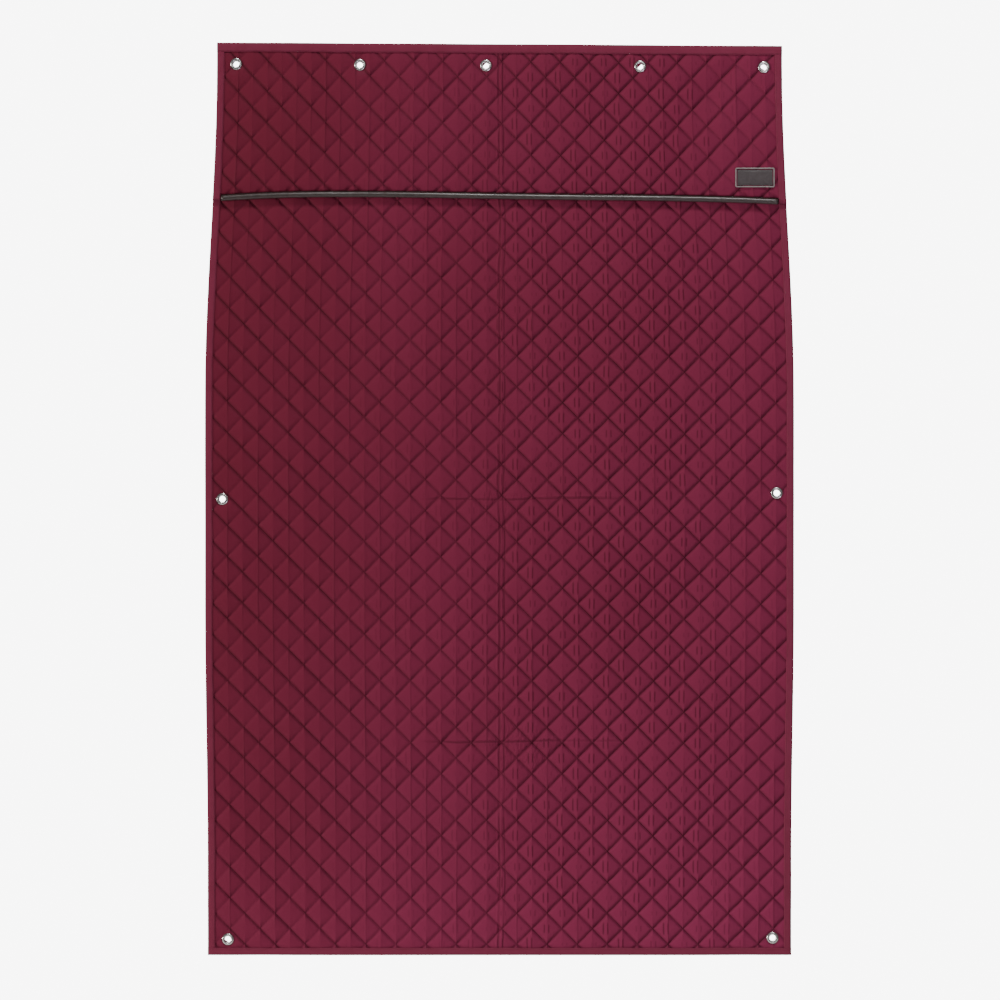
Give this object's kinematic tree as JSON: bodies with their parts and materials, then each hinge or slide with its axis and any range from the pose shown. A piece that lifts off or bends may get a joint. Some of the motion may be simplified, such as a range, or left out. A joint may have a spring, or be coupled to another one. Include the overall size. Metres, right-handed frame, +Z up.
{
  "type": "stable curtain",
  "caption": "Quilted cloth stable curtain hung by metal eyelets along its head, with bound edges and a piped quilted flap that lifts forward over the top.",
  "frame": {"origin": "on the panel's back face, on its centre line, at the height of the row of top eyelets that it hangs from", "axes": "+Z up, -Y towards the front of the curtain, +X to the right as seen from the front"},
  "size_m": [1.258, 0.019, 1.9486],
  "materials": {
    "quilted_face": "satin",
    "lining": "matte",
    "wadding": "matte",
    "binding_tape": "matte",
    "piping_cover": "gloss",
    "piping_cord": "matte",
    "eyelet_metal": "polished",
    "patch_leather": "gloss",
    "patch_rim": "gloss"
  },
  "bodies": {
    "curtain": {"panel_face": "quilted_face", "panel_wadding": "wadding", "panel_lining": "lining", "flap_head_face": "quilted_face", "flap_head_wadding": "wadding", "flap_head_lining": "lining", "binding_left": "binding_tape", "binding_right": "binding_tape", "binding_top": "binding_tape", "binding_bottom": "binding_tape", "flap_head_binding_left": "binding_tape", "flap_head_binding_right": "binding_tape", "eyelet_top_1_grommet": "eyelet_metal", "eyelet_top_1_washer": "eyelet_metal", "eyelet_top_2_grommet": "eyelet_metal", "eyelet_top_2_washer": "eyelet_metal", "eyelet_top_3_grommet": "eyelet_metal", "eyelet_top_3_washer": "eyelet_metal", "eyelet_top_4_grommet": "eyelet_metal", "eyelet_top_4_washer": "eyelet_metal", "eyelet_top_5_grommet": "eyelet_metal", "eyelet_top_5_washer": "eyelet_metal", "eyelet_mid_left_grommet": "eyelet_metal", "eyelet_mid_left_washer": "eyelet_metal", "eyelet_mid_right_grommet": "eyelet_metal", "eyelet_mid_right_washer": "eyelet_metal", "eyelet_low_left_grommet": "eyelet_metal", "eyelet_low_left_washer": "eyelet_metal", "eyelet_low_right_grommet": "eyelet_metal", "eyelet_low_right_washer": "eyelet_metal"},
    "flap": {"flap_face": "quilted_face", "flap_wadding": "wadding", "flap_lining": "lining", "flap_binding_left": "binding_tape", "flap_binding_right": "binding_tape", "piping_cover": "piping_cover", "piping_cord": "piping_cord", "patch_plate": "patch_leather", "patch_rim": "patch_rim"}
  },
  "joints": [
    {"name": "flap_lift", "type": "hinge", "parent": "curtain", "child": "flap", "pos_m": [0, -0.013, -0.0203], "axis": [-1, 0, 0], "range_deg": [0, 165]}
  ]
}
